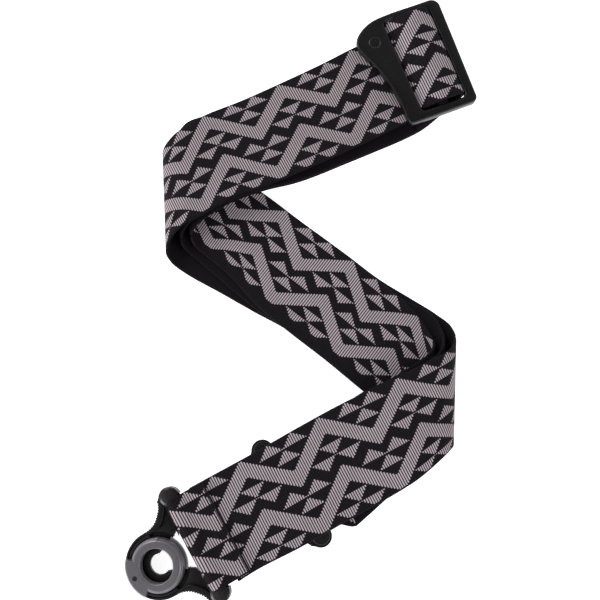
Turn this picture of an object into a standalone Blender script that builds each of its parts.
"""Adjustable woven guitar strap with two locking strap ends, folded in a zigzag.

The strap lies on the plane z = 0, in three runs joined by two loose folds.  In plan the
upper run is towards +y, and the folds are at -x (upper to middle) and +x (middle to lower).
Three layers of webbing run through the bundle: the main layer goes from the slider to lock
end A, the loop layer goes from the slider to the crossbar of lock end B, and the return
layer comes back from that crossbar to be sewn round the slider's bar.

Lengths are in millimetres and angles in degrees; meshes are scaled to metres when made.
"""

import math

import bmesh
import bpy
import numpy as np
from mathutils import Matrix, Vector

MM = 0.001

# ---------------------------------------------------------------- dimensions
WEB_T = 1.4                     # webbing thickness
WEB_W = 49.0                    # webbing width at the slider
WEB_W_LOCK = 47.6               # webbing width round a lock's crossbar
GAP = 0.3                       # clearance between neighbouring pieces
FOLD_GAP = 0.35                 # half of the cut between the two halves of a fold
CREST_RADIUS = 1.3 * WEB_T / 2  # tightest bend at a fold's crest
CUT_OVER = 2.0                  # how far the slider's window cutter overshoots

# slider: x is its short axis, y runs along its bar
SL_AT = (64.3, 124.8, 0.0)      # centre in plan
SL_HEAD = 20.5                  # heading of its x axis
SL_Z0, SL_Z1 = 6.9, 11.9        # underside and top of the frame
SL_BAR_X, SL_BAR_Z, SL_BAR_R = 1.0, 8.6, 1.6
SL_BAR_Y, SL_BAR_LEN = 1.0, 56.0
SL_WEB_Y = 0.8                  # webbing's centre between the frame's two ends

# lock ends: origin at the ring's centre, x towards the crossbar, z up out of the ring
LK_DISC_R = 16.3                # round end of the yoke
LK_SLOT_X, LK_SLOT_R = 0.2, 4.9 # keyhole centre and radius
LK_ARM_Y = 24.2 + GAP           # inner face of an arm beside the crossbar
LK_BAR_X, LK_BAR_Z, LK_BAR_R = 20.9, 3.1, 2.0
LK_BAR_HALF = 27.2              # half the crossbar's length
LK_BORE_HALF = 27.6             # half the length of its bore
LK_Z0, LK_Z1 = 1.2, 5.2         # underside and top of the yoke
LK_TOOTH = (-0.225, 0.3825)     # shift of every other point on the serrated edge
LK_FLOOR = 2.4                  # floor of the ring pocket
LK_POCKET_R = 15.0
LK_WELL_FLOOR = LK_FLOOR + 0.6  # floor of the round well inside the pocket
LK_WELL_DEPTH = 4.0
COVER_Z0, COVER_Z1 = 0.0, 0.9
COVER_R = LK_DISC_R - 0.9
COVER_SLOT_R = LK_SLOT_R + 0.6
SCREW_CIRCLE_R = 11.2
SCREW_ANGLES = (70, 180, 290)
SCREW_HOLE_R, SCREW_R = 1.0, 0.7
RING_R0, RING_R1 = 8.4, 13.3    # bore and outside of the lock ring
RING_TOP = 8.2
FLANGE_R = 14.4                 # outside of the ring's flange and of the gate
TAB_R = 16.3                    # thumb tab of the lock ring
TAB_START, TAB_END = 128.0, 214.0
GATE_START, GATE_SPAN = -36, 72
SPRING_R, SPRING_Z = 11.6, 3.15 # centre line of the spring wire
WIRE_HALF_W, WIRE_HALF_H = 0.45, 0.4
SPRING_START, SPRING_SPAN = 120, 120

# lock A leans down from its crossbar to its ring
A_RING = (-66.9, -128.9)        # its ring axis in plan, at the crossbar's level
A_HEAD = 29.6                   # heading from ring to crossbar
A_TILT = 12.2
A_BAR_Z = 11.0
A_REACH = LK_BAR_X * math.cos(math.radians(A_TILT))
A_BAR = (
    A_RING[0] + A_REACH * math.cos(math.radians(A_HEAD)),
    A_RING[1] + A_REACH * math.sin(math.radians(A_HEAD)),
    A_BAR_Z,
)
# lock B lies upside down
B_BAR = (-3.6, -95.3, 5.1)
B_HEAD = 35.0

# middle surface of webbing bent round the slider's bar and round a crossbar
SL_WRAP_R = SL_BAR_R + GAP + WEB_T / 2
LK_WRAP_R = LK_BAR_R + GAP + WEB_T / 2 + 0.1

# Stations of each webbing layer from the slider end to the lock end:
# north (+y) edge x, y, z and south (-y) edge x, y, z of the layer's middle surface.
MAIN_LAY = [
    (44.0, 141.5, 5.8, 65.0, 97.0, 5.8),
    (29.0, 134.5, 5.8, 50.5, 90.0, 5.9),
    (9.5, 124.0, 6.0, 29.5, 79.0, 7.8),
    (-10.0, 114.0, 6.7, 7.5, 67.5, 11.5),
    (-31.0, 103.5, 7.9, -15.5, 56.5, 14.1),
    (-48.5, 95.5, 9.5, -34.0, 49.5, 15.4),
    (-59.5, 88.5, 10.6, -48.5, 41.0, 15.3),
    (-66.5, 82.5, 10.6, -59.0, 34.5, 15.2),
    (-70.5, 76.0, 5.6, -67.0, 25.0, 8.0),
    (-68.0, 69.5, 0.7, -65.5, 19.0, 0.7),
    (-58.5, 65.0, 0.7, -57.5, 13.0, 0.7),
    (-38.5, 61.0, 0.7, -40.5, 3.5, 0.7),
    (-19.0, 54.0, 0.7, -23.0, -6.5, 0.7),
    (0.0, 40.5, 0.7, -5.0, -16.5, 0.7),
    (20.5, 26.0, 0.7, 13.0, -30.5, 0.7),
    (40.5, 10.5, 0.7, 31.0, -44.0, 0.7),
    (56.5, 0.5, 0.7, 49.0, -56.5, 0.7),
    (69.0, -7.5, 0.7, 63.5, -66.0, 0.7),
    (75.0, -13.0, 0.7, 71.0, -71.0, 0.7),
    (76.8, -20.0, 7.8, 74.0, -73.0, 7.5),
    (74.0, -26.0, 14.8, 71.5, -76.0, 14.2),
    (67.0, -30.5, 14.8, 65.5, -81.5, 14.2),
    (54.0, -37.0, 14.8, 57.0, -88.5, 14.2),
    (38.5, -44.5, 14.4, 48.5, -94.0, 13.6),
    (21.5, -52.5, 13.6, 38.0, -100.0, 12.8),
    (0.0, -64.0, 12.6, 20.5, -109.5, 12.2),
    (-23.0, -77.0, 11.8, -0.5, -121.0, 11.8),
    (-42.5, -87.5, 11.2, -19.5, -130.5, 11.2),
    (-53.0, -93.2, 11.0, -28.8, -136.2, 11.0),
]
RETURN_LAY = [
    (30.5, 128.0, 2.4, 47.5, 81.5, 2.4),
    (9.0, 118.5, 3.2, 26.0, 72.0, 5.2),
    (-16.0, 106.5, 4.5, 0.0, 60.0, 9.6),
    (-35.0, 100.0, 5.7, -19.0, 54.5, 12.4),
    (-50.0, 95.5, 7.4, -36.0, 48.0, 13.5),
    (-58.0, 92.0, 8.4, -47.0, 42.0, 13.5),
    (-62.5, 87.0, 8.4, -55.5, 36.5, 13.4),
    (-65.5, 81.0, 5.4, -60.0, 30.5, 7.9),
    (-63.0, 76.0, 2.4, -59.0, 26.0, 2.4),
    (-55.5, 71.5, 2.4, -54.5, 22.0, 2.4),
    (-38.5, 64.0, 2.4, -39.5, 9.0, 2.4),
    (-20.0, 52.5, 2.4, -22.0, -5.5, 2.4),
    (0.0, 40.0, 2.4, -5.0, -17.0, 2.4),
    (20.5, 25.0, 2.4, 13.0, -31.0, 2.4),
    (40.5, 9.0, 2.4, 31.0, -45.5, 2.4),
    (53.0, -0.5, 2.4, 47.5, -55.5, 2.4),
    (63.5, -5.5, 2.4, 59.5, -63.0, 2.4),
    (69.0, -11.5, 2.4, 66.3, -72.0, 2.4),
    (71.3, -20.0, 7.6, 69.2, -75.0, 7.3),
    (68.5, -27.5, 12.8, 67.4, -78.5, 12.2),
    (61.5, -33.0, 12.8, 62.0, -84.0, 12.2),
    (49.5, -40.0, 12.5, 53.0, -90.0, 11.8),
    (35.0, -46.5, 11.4, 43.0, -97.0, 10.7),
    (22.0, -54.5, 10.0, 35.0, -104.0, 9.8),
    (9.5, -62.5, 8.9, 27.0, -111.0, 8.9),
]
LOOP_LAY = [
    (30.5, 128.0, 0.7, 47.5, 82.0, 0.7),
    (9.5, 118.5, 1.2, 26.0, 72.0, 3.2),
    (-16.0, 106.0, 2.6, 0.0, 60.0, 7.6),
    (-34.5, 100.5, 3.9, -19.5, 54.0, 10.5),
    (-48.0, 96.0, 5.3, -35.5, 47.5, 11.5),
    (-54.5, 91.5, 6.5, -45.0, 41.5, 11.6),
    (-57.5, 85.5, 6.6, -51.5, 36.5, 11.5),
    (-59.0, 80.0, 5.4, -55.0, 32.0, 7.8),
    (-57.5, 75.0, 4.1, -53.5, 27.0, 4.1),
    (-51.0, 70.5, 4.1, -48.5, 22.5, 4.1),
    (-37.0, 66.5, 4.1, -36.5, 12.5, 4.1),
    (-19.5, 55.5, 4.1, -22.0, -3.5, 4.1),
    (0.0, 40.5, 4.1, -5.0, -17.5, 4.1),
    (20.5, 25.0, 4.1, 13.0, -31.5, 4.1),
    (40.5, 8.5, 4.1, 30.5, -46.0, 4.1),
    (50.5, 0.0, 4.1, 43.0, -56.0, 4.1),
    (58.5, -8.0, 4.1, 53.5, -65.0, 4.1),
    (64.0, -16.0, 4.1, 62.0, -70.0, 4.1),
    (66.4, -22.5, 7.4, 64.8, -72.0, 7.1),
    (63.5, -28.0, 10.7, 63.0, -75.5, 10.1),
    (55.5, -34.0, 10.7, 58.0, -81.0, 10.1),
    (44.0, -41.0, 10.0, 49.0, -87.0, 9.2),
    (32.0, -46.5, 8.0, 40.5, -94.5, 7.1),
    (21.0, -53.5, 5.4, 34.0, -101.5, 4.8),
    (10.5, -61.5, 3.0, 27.0, -110.5, 2.9),
]
SUB = 3                # rows from one station to the next
FOLD_ROWS = 3 * SUB    # rows reshaped on each side of a crest


# ------------------------------------------------------------------- objects
def add(name, bm, mat, frame=None, parent=None, smooth=None):
    """Make the bmesh, in millimetres, an object in metres; smooth is its sharp-edge angle."""
    bmesh.ops.recalc_face_normals(bm, faces=bm.faces)
    mesh = bpy.data.meshes.new(name)
    bm.to_mesh(mesh)
    bm.free()
    mesh.transform(Matrix.Scale(MM, 4))
    if smooth:
        mesh.shade_smooth()
        mesh.set_sharp_from_angle(angle=math.radians(smooth))
    mesh.materials.append(mat)
    obj = bpy.data.objects.new(name, mesh)
    bpy.context.scene.collection.objects.link(obj)
    if frame is not None:
        obj.matrix_world = frame
    if parent is not None:
        obj.parent = parent
        obj.matrix_parent_inverse = parent.matrix_world.inverted()
    return obj


def add_empty(name, at):
    empty = bpy.data.objects.new(name, None)
    bpy.context.scene.collection.objects.link(empty)
    empty.location = Vector(at) * MM
    # children need its world matrix at once
    bpy.context.view_layer.update()
    return empty


def cut(target, bm, name, operation="DIFFERENCE"):
    """Boolean with a hidden wireframe cutter in the target's frame."""
    cutter = add(name, bm, target.data.materials[0], target.matrix_world.copy())
    cutter.hide_render = True
    cutter.display_type = "WIRE"
    boolean = target.modifiers.new(name, "BOOLEAN")
    boolean.operation = operation
    boolean.solver = "EXACT"
    boolean.object = cutter


def frame_at(at, heading):
    """Level frame at a point, its x axis turned to the heading."""
    turn = Matrix.Rotation(math.radians(heading), 4, "Z")
    return Matrix.Translation(Vector(at) * MM) @ turn


# -------------------------------------------------------------------- curves
def spline(table, sub=SUB):
    """Centripetal Catmull-Rom rows through the points, which may have any dimension."""
    p = np.array(table, float)
    p = np.vstack([2 * p[0] - p[1], p, 2 * p[-1] - p[-2]])
    rows = []
    for i in range(1, len(p) - 2):
        q = p[i - 1 : i + 3]
        t = [0.0]
        for a, b in zip(q[:-1], q[1:]):
            t.append(t[-1] + max(np.linalg.norm(b - a), 1e-6) ** 0.5)
        for k in range(sub):
            u = t[1] + (t[2] - t[1]) * k / sub

            def blend(start, end, t0, t1):
                return (t1 - u) / (t1 - t0) * start + (u - t0) / (t1 - t0) * end

            a = [blend(q[j], q[j + 1], t[j], t[j + 1]) for j in range(3)]
            b = [blend(a[j], a[j + 1], t[j], t[j + 2]) for j in range(2)]
            rows.append(blend(b[0], b[1], t[1], t[2]))
    rows.append(p[-2])
    return np.array(rows)


def curve(points, sub=3):
    """Smooth plane curve as a list of point pairs."""
    return [tuple(point) for point in spline(points, sub)]


def arc(cx, cy, r, start, end, steps):
    angles = [math.radians(start + (end - start) * i / steps) for i in range(steps + 1)]
    return [(cx + r * math.cos(a), cy + r * math.sin(a)) for a in angles]


def mirrored(half):
    """Closed outline from its +y half, whose two end points lie on the x axis."""
    side = half[1:-1]
    other_side = [(x, -y) for x, y in reversed(side)]
    return [(half[0][0], 0.0)] + side + [(half[-1][0], 0.0)] + other_side


# -------------------------------------------------------------------- solids
def prism(outline, z0, z1):
    bm = bmesh.new()
    face = bm.faces.new([bm.verts.new((x, y, z0)) for x, y in outline])
    extruded = bmesh.ops.extrude_face_region(bm, geom=[face])["geom"]
    top = [v for v in extruded if isinstance(v, bmesh.types.BMVert)]
    bmesh.ops.translate(bm, vec=(0, 0, z1 - z0), verts=top)
    return bm


def lathe(profile, seg, start=0.0, span=360.0):
    """A profile of (radius, z) turned about z; a part turn is capped at both ends."""
    bm = bmesh.new()
    full = span >= 360.0
    count = seg if full else seg + 1
    rings = []
    for i in range(count):
        a = math.radians(start + span * i / seg)
        rings.append([bm.verts.new((r * math.cos(a), r * math.sin(a), z)) for r, z in profile])
    corners = len(profile)
    for i in range(seg):
        a, b = rings[i], rings[(i + 1) % count]
        for k in range(corners):
            following = (k + 1) % corners
            bm.faces.new((a[k], a[following], b[following], b[k]))
    if not full:
        bm.faces.new(rings[0])
        bm.faces.new(rings[-1])
    return bm


def rod(r, length, seg, at, along="Y"):
    """Cylinder centred on a point, along Y or Z."""
    bm = bmesh.new()
    turn = Matrix.Rotation(math.radians(90), 4, "X") if along == "Y" else Matrix()
    bmesh.ops.create_cone(
        bm, cap_ends=True, segments=seg, radius1=r, radius2=r, depth=length,
        matrix=Matrix.Translation(at) @ turn,
    )
    return bm


def band(name, path, width, mat, frame, parent, y_mid=0.0):
    """Webbing bent along a path in the local x-z plane, straight along local y."""
    bm = bmesh.new()
    half = width / 2
    pairs = [
        (bm.verts.new((x, y_mid - half, z)), bm.verts.new((x, y_mid + half, z)))
        for x, z in path
    ]
    for a, b in zip(pairs[:-1], pairs[1:]):
        bm.faces.new((a[0], a[1], b[1], b[0]))
    obj = add(name, bm, mat, frame, parent)
    solid = obj.modifiers.new("thickness", "SOLIDIFY")
    solid.thickness = WEB_T * MM
    solid.offset = 0.0
    solid.use_even_offset = True


# ------------------------------------------------------------------ materials
def material(name, color, roughness, metallic=0.0):
    mat = bpy.data.materials.new(name)
    mat.use_nodes = True
    inputs = mat.node_tree.nodes["Principled BSDF"].inputs
    inputs["Base Color"].default_value = (*color, 1.0)
    inputs["Roughness"].default_value = roughness
    inputs["Metallic"].default_value = metallic
    return mat


# -------------------------------------------------------------- webbing runs
def round_folds(rows, folds, reach):
    """Each edge climbs through a fold along half an ellipse, standing on its crest."""
    out = rows.copy()
    for x_col, z_col in ((0, 2), (3, 5)):
        x, z = rows[:, x_col], out[:, z_col]
        stations = rows[::SUB, z_col]
        # keep level stretches free of spline overshoot
        for i in range(len(stations) - 1):
            if abs(stations[i] - stations[i + 1]) < 1e-6:
                z[i * SUB : (i + 1) * SUB] = stations[i]
        for fold in folds:
            crest = fold * SUB
            before, after = stations[fold - 1], stations[fold + 1]
            half = abs(before - after) / 2
            length = min(reach, half * half / CREST_RADIUS)
            z[crest] = (before + after) / 2
            for offset in (*range(-FOLD_ROWS, 0), *range(1, FOLD_ROWS + 1)):
                i = crest + offset
                level = before if offset < 0 else after
                if abs(offset) < SUB:
                    z[i] = level
                u = 1 - min(abs(x[i] - x[crest]) / length, 1)
                z[i] += math.copysign(half * (1 - math.sqrt(1 - u * u)), z[crest] - level)
    return out


def with_normals(rows):
    """Add to each row the unit normals of the layer at its north and south edges."""
    across = rows[:, 3:6] - rows[:, :3]
    out = [rows]
    for edge in (rows[:, :3], rows[:, 3:6]):
        normal = np.cross(np.gradient(edge, axis=0), across)
        out.append(normal / np.linalg.norm(normal, axis=1)[:, None])
    return np.hstack(out)


def row_distance(a, b):
    """Distance between two rows, measured square to row a."""
    across = (a[3:6] - a[:3]) / np.linalg.norm(a[3:6] - a[:3])
    d = ((b - a)[:3] + (b - a)[3:6]) / 2
    return np.linalg.norm(d - (d @ across) * across)


def trim(rows, first=0.0, last=0.0):
    """Move the first and last row inwards by these distances."""
    out = rows.copy()
    out[0] += (rows[1] - rows[0]) * first / row_distance(rows[0], rows[1])
    out[-1] += (rows[-2] - rows[-1]) * last / row_distance(rows[-1], rows[-2])
    return out


def webbing(name, rows, mat, parent=None):
    """A strip of webbing of even thickness on both sides of its middle surface."""
    bm = bmesh.new()
    sections = []
    for row in rows:
        north, south, up_n, up_s = (Vector(row[k : k + 3]) for k in (0, 3, 6, 9))
        up_n = up_n.normalized() * (WEB_T / 2)
        up_s = up_s.normalized() * (WEB_T / 2)
        corners = (north + up_n, south + up_s, south - up_s, north - up_n)
        sections.append([bm.verts.new(corner) for corner in corners])
    for a, b in zip(sections[:-1], sections[1:]):
        for j in range(4):
            following = (j + 1) % 4
            bm.faces.new((a[j], a[following], b[following], b[j]))
    bm.faces.new(sections[0])
    bm.faces.new(sections[-1])
    add(name, bm, mat, parent=parent)


def fold_hinge(rows, fold):
    """Middle of the crest line on the outside of a fold."""
    row = rows[fold * SUB]
    outwards = math.copysign(WEB_T / 2, row[0])
    return Vector((row[:3] + row[3:6]) / 2) + Vector((outwards, 0, 0))


def build_runs():
    """Cut each layer at its two folds into runs; return the upper and lower run axes."""
    # name, stations, station numbers of the two crests, reach of a fold, material
    layers = (
        ("main", MAIN_LAY, (8, 19), 9.0, WEB),
        ("return", RETURN_LAY, (7, 18), 7.5, WEB_BACK),
        ("loop", LOOP_LAY, (7, 18), 6.0, WEB),
    )
    upper = lower = None
    for name, lay, folds, reach, mat in layers:
        rows = with_normals(round_folds(spline(lay), folds, reach))
        if name == "main":
            # the outermost layer sets the hinge of both folds
            upper = add_empty("upper_run_axis", fold_hinge(rows, folds[0]))
            lower = add_empty("lower_run_axis", fold_hinge(rows, folds[1]))
        a, b = (fold * SUB for fold in folds)
        webbing(f"strap_{name}_upper", trim(rows[: a + 1], last=FOLD_GAP), mat, upper)
        webbing(f"strap_{name}_middle", trim(rows[a : b + 1], FOLD_GAP, FOLD_GAP), mat)
        webbing(f"strap_{name}_lower", trim(rows[b:], first=FOLD_GAP), mat, lower)
    return upper, lower


# --------------------------------------------------------------------- slider
def build_slider_frame(frame, axis):
    outline = (
        arc(15.2, -27.2, 3.2, -90, 0, 4)
        + arc(15.0, 27.0, 3.6, 0, 90, 4)
        + curve([
            (8.0, 31.0), (-8.0, 31.2), (-17.5, 30.2), (-24.2, 27.0), (-28.6, 22.6),
            (-29.6, 18.6), (-27.6, 12.6), (-23.2, 0.6), (-20.9, -9.5), (-19.9, -19.0),
            (-19.9, -25.0),
        ])
        + arc(-16.6, -27.2, 3.2, 195, 270, 3)
    )
    window = (
        arc(10.9, -23.7, 2.4, -90, 0, 3)
        + arc(9.9, 23.9, 3.4, 0, 90, 3)
        + arc(-9.5, 24.5, 2.8, 90, 180, 3)
        + arc(-9.9, -23.7, 2.4, 180, 270, 3)
    )
    body = add("slider_frame", prism(outline, SL_Z0, SL_Z1), PLASTIC, frame, axis)
    cut(body, prism(window, SL_Z0 - CUT_OVER, SL_Z1 + CUT_OVER), "slider_window")
    bar = rod(SL_BAR_R, SL_BAR_LEN, 12, (SL_BAR_X, SL_BAR_Y, SL_BAR_Z))
    cut(body, bar, "slider_bar", "UNION")


def build_slider_webbing(frame, axis):
    # over the bar, down on its +x side and back underneath; points are x, z
    turn = curve([
        (-11.4, 7.7), (-8.5, 8.9), (-4.5, 11.6), (1.5, 13.1), (7.4, 12.2), (11.2, 9.4),
        (11.9, 6.4), (10.2, 3.3), (6.0, 1.75), (1.0, 1.0), (-4.0, 0.75), (-8.0, 0.7),
        (-21.5, 0.7),
    ])
    band("strap_slider_turn", turn, WEB_W, WEB, frame, axis, SL_WEB_Y)
    # round the bar, both legs leaving towards -x; points are x, z
    sewn_loop = (
        [(-21.5, 2.4), (-12.0, 2.4), (-6.0, 2.5), (-2.6, 3.2), (0.4, 4.9)]
        + arc(SL_BAR_X, SL_BAR_Z, SL_WRAP_R, -55, 200, 15)
        + [(-2.2, 6.3), (-3.6, 4.9), (-6.0, 4.2), (-9.0, 4.1), (-15.0, 4.1)]
    )
    band("strap_sewn_loop", sewn_loop, WEB_W, WEB_BACK, frame, axis, SL_WEB_Y)


# ------------------------------------------------------------------ lock ends
def yoke_outline():
    """Wishbone: a round end with an open keyhole, and two arms out to the crossbar."""
    edge = curve([
        (0.6, 16.3), (4.2, 16.7), (7.4, 17.9), (10.2, 20.2), (12.6, 23.0), (14.0, 26.0),
    ], 4)
    dx, dy = LK_TOOTH
    serrated = [(x + dx, y + dy) if i % 2 else (x, y) for i, (x, y) in enumerate(edge)]
    knob = arc(20.2, 24.6, 5.4, 150, 12, 7)
    inner = [
        (25.4, LK_ARM_Y), (16.7, LK_ARM_Y), (16.5, 14.0), (15.4, 10.2),
        (12.9, 8.4), (9.6, 7.1), (6.6, 5.95),
    ]
    round_end = arc(0, 0, LK_DISC_R, 180, 90, 10)
    keyhole = arc(LK_SLOT_X, 0, LK_SLOT_R, 66, 180, 6)
    return mirrored(round_end + serrated + knob + inner + keyhole)


def build_yoke(prefix, frame, axis):
    """Yoke with its ring pocket and crossbar."""
    yoke = add(f"{prefix}_yoke", prism(yoke_outline(), LK_Z0, LK_Z1), PLASTIC, frame, axis)
    pocket_r0, pocket_top = RING_R0 - 0.4, LK_Z1 + 1
    pocket = lathe([
        (pocket_r0, LK_FLOOR), (LK_POCKET_R, LK_FLOOR),
        (LK_POCKET_R, pocket_top), (pocket_r0, pocket_top),
    ], 48)
    cut(yoke, pocket, f"{prefix}_pocket")
    well_z = LK_WELL_FLOOR + LK_WELL_DEPTH / 2
    well = rod(RING_R0 - 0.2, LK_WELL_DEPTH, 48, (0, 0, well_z), "Z")
    cut(yoke, well, f"{prefix}_well")
    bar_at = (LK_BAR_X, 0, LK_BAR_Z)
    cut(yoke, rod(LK_BAR_R + GAP, 2 * LK_BORE_HALF, 16, bar_at), f"{prefix}_bore")
    crossbar = rod(LK_BAR_R, 2 * LK_BAR_HALF, 16, bar_at)
    add(f"{prefix}_crossbar", crossbar, STEEL, frame, axis, 30)
    return yoke


def build_cover(prefix, yoke, frame, axis):
    """Back cover follows the round end, leaves the keyhole open and has three screws."""
    rim = arc(0, 0, COVER_R, 180, 38, 14)
    keyhole = [(6.8, 6.6)] + arc(LK_SLOT_X, 0, COVER_SLOT_R, 66, 180, 6)
    plate = prism(mirrored(rim + keyhole), COVER_Z0, COVER_Z1)
    cover = add(f"{prefix}_back_cover", plate, PLASTIC, frame, axis)
    for number, angle in enumerate(SCREW_ANGLES, 1):
        x = SCREW_CIRCLE_R * math.cos(math.radians(angle))
        y = SCREW_CIRCLE_R * math.sin(math.radians(angle))
        hole = rod(SCREW_HOLE_R, 6.0, 12, (x, y, 0.4), "Z")
        cut(cover, hole, f"{prefix}_screw_hole_{number}")
        seat = rod(SCREW_HOLE_R, 1.6, 12, (x, y, 1.0), "Z")
        cut(yoke, seat, f"{prefix}_screw_seat_{number}")
        screw = rod(SCREW_R, 1.2, 10, (x, y, 0.9), "Z")
        add(f"{prefix}_cover_screw_{number}", screw, STEEL, frame, axis, 30)


def build_ring(prefix, frame, axis):
    """Lock ring with a flange, bevelled top and thumb tab, and the gate below it."""
    ring = add(f"{prefix}_ring", lathe([
        (RING_R0, 3.8), (FLANGE_R, 3.8), (FLANGE_R, 4.4), (RING_R1, 4.4), (RING_R1, 6.6),
        (RING_R1 - 1.7, RING_TOP), (RING_R0 + 0.3, RING_TOP), (RING_R0, RING_TOP - 0.3),
    ], 48), RING, frame, axis, 30)
    tab_r0 = RING_R1 - 2.5
    tab = lathe([
        (tab_r0, 5.5), (TAB_R, 5.5), (TAB_R, 7.3), (TAB_R - 0.5, 7.8), (tab_r0, 7.8),
    ], 14, TAB_START, TAB_END - TAB_START)
    cut(ring, tab, f"{prefix}_tab", "UNION")
    gate = lathe([
        (8.8, 2.7), (FLANGE_R, 2.7), (FLANGE_R, 3.5), (8.8, 3.5),
    ], 14, GATE_START, GATE_SPAN)
    add(f"{prefix}_gate", gate, STEEL, frame, axis, 30)


def build_ring_fittings(prefix, frame, axis):
    """Retaining ring over the lock ring's flange, and the spring in the pocket."""
    retainer = lathe([(13.6, 4.75), (14.7, 4.75), (14.7, LK_Z1), (13.6, LK_Z1)], 48)
    add(f"{prefix}_retaining_ring", retainer, STEEL, frame, axis, 30)
    angles = [k * math.pi / 3 for k in range(6)]
    wire = [
        (SPRING_R + WIRE_HALF_W * math.cos(a), SPRING_Z + WIRE_HALF_H * math.sin(a))
        for a in angles
    ]
    spring = lathe(wire, 16, SPRING_START, SPRING_SPAN)
    add(f"{prefix}_spring", spring, SPRING, frame, axis, 40)


def build_lock(prefix, bar, heading, turn):
    """Lock end held at its crossbar and turned about it."""
    to_bar = Matrix.Translation(Vector((-LK_BAR_X, 0, -LK_BAR_Z)) * MM)
    frame = frame_at(bar, heading) @ turn @ to_bar
    axis = add_empty(f"{prefix}_axis", bar)
    ring_axis = add_empty(f"{prefix}_ring_axis", frame.translation / MM)
    yoke = build_yoke(prefix, frame, axis)
    build_cover(prefix, yoke, frame, axis)
    build_ring_fittings(prefix, frame, axis)
    build_ring(prefix, frame, ring_axis)


# ------------------------------------------------- webbing ends at the bars
def build_end_tab_a(axis):
    """Webbing folded round crossbar A, its two legs sewn over the strap's end."""
    frame = frame_at(A_BAR, A_HEAD)
    leg_z = WEB_T + GAP
    leg = [(15.6, leg_z), (9.0, leg_z), (5.0, leg_z + 0.15), (2.2, LK_WRAP_R - 0.35)]
    lower_leg = [(x, -z) for x, z in reversed(leg)]
    path = leg + arc(0, 0, LK_WRAP_R, 80, 280, 10) + lower_leg
    band("end_tab_a", path, WEB_W_LOCK, WEB, frame, axis)
    bm = bmesh.new()
    place = Matrix.Translation((14.3, 0, leg_z + WEB_T / 2 + 0.45))
    size = Matrix.Diagonal((0.9, 45.0, 0.3, 1))
    bmesh.ops.create_cube(bm, size=1.0, matrix=place @ size)
    add("end_tab_a_stitching", bm, THREAD, frame, axis)


def build_turn_b(axis):
    """The loop layer passes round crossbar B and comes back as the return layer."""
    path = (
        [(14.0, 3.2), (8.0, 3.2), (4.0, 3.15)]
        + arc(0, 0, LK_WRAP_R, 80, 280, 10)
        + [(4.0, -2.9), (8.0, -2.5), (14.0, -2.3)]
    )
    band("strap_crossbar_turn", path, WEB_W_LOCK, WEB, frame_at(B_BAR, B_HEAD), axis)


# ---------------------------------------------------------------------- build
for old in list(bpy.data.objects):
    bpy.data.objects.remove(old)

WEB = material("woven_webbing", color=(0.045, 0.040, 0.045), roughness=0.85)
WEB_BACK = material("woven_webbing_back", color=(0.020, 0.016, 0.020), roughness=0.9)
PLASTIC = material("black_moulding", color=(0.012, 0.010, 0.011), roughness=0.45)
RING = material("gunmetal_ring", color=(0.10, 0.095, 0.105), roughness=0.38, metallic=0.6)
STEEL = material("steel", color=(0.45, 0.45, 0.46), roughness=0.3, metallic=1.0)
SPRING = material("spring_steel", color=(0.35, 0.35, 0.36), roughness=0.35, metallic=1.0)
THREAD = material("thread", color=(0.015, 0.013, 0.015), roughness=0.8)

upper_axis, lower_axis = build_runs()

slider_axis = add_empty("slider_axis", SL_AT)
slider_place = frame_at(SL_AT, SL_HEAD)
build_slider_frame(slider_place, slider_axis)
build_slider_webbing(slider_place, slider_axis)

build_lock("lock_a", A_BAR, A_HEAD, Matrix.Rotation(math.radians(-A_TILT), 4, "Y"))
build_lock("lock_b", B_BAR, B_HEAD, Matrix.Rotation(math.pi, 4, "X"))

build_end_tab_a(lower_axis)
build_turn_b(lower_axis)
